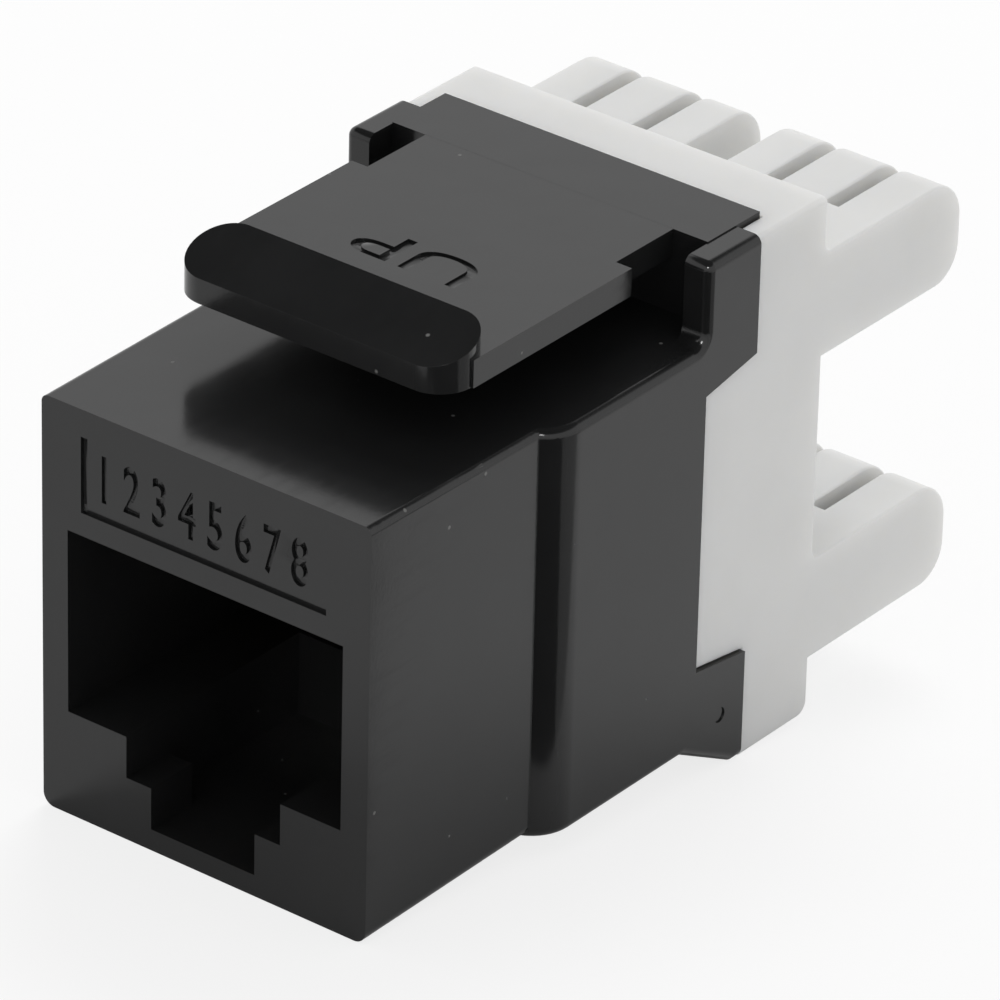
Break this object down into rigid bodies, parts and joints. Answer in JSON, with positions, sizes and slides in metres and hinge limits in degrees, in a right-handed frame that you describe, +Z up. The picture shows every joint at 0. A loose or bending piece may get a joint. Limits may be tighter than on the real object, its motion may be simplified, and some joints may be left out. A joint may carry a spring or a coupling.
{
  "type": "keystone jack",
  "caption": "Snap-in data jack with a stepped plug port in front, a sprung latch on top, and rows of forked wire slots on a pale block behind.",
  "frame": {"origin": "middle of the front face's lower edge, in the plane of the front face", "axes": "+Y from the plug port to the wire slots, +Z up towards the latch, +X across the jack"},
  "size_m": [0.0162, 0.0326, 0.0219],
  "materials": {
    "black_plastic": "smooth moulded, lightly polished",
    "carrier_plastic": "plain moulded",
    "pale_plastic": "plain moulded, pale grey-white",
    "board": "solder-resist lacquer",
    "gold_wire": "plated, bright",
    "tinned_metal": "tin plated, satin"
  },
  "bodies": {
    "jack_body": {"housing": "black_plastic", "contact_carrier": "carrier_plastic", "circuit_board": "board", "idc_block": "pale_plastic", "contact_wire_1": "gold_wire", "contact_wire_2": "gold_wire", "contact_wire_3": "gold_wire", "contact_wire_4": "gold_wire", "contact_wire_5": "gold_wire", "contact_wire_6": "gold_wire", "contact_wire_7": "gold_wire", "contact_wire_8": "gold_wire", "idc_contact_1": "tinned_metal", "idc_contact_2": "tinned_metal", "idc_contact_3": "tinned_metal", "idc_contact_4": "tinned_metal", "idc_contact_5": "tinned_metal", "idc_contact_6": "tinned_metal", "idc_contact_7": "tinned_metal", "idc_contact_8": "tinned_metal"},
    "latch_arm": {"latch": "black_plastic"}
  },
  "joints": [
    {"name": "latch_flex", "type": "hinge", "parent": "jack_body", "child": "latch_arm", "pos_m": [0, 0.01805, 0.01906], "axis": [1, 0, 0], "range_deg": [0, 9], "stiffness_Nm_per_rad": 0.8}
  ]
}
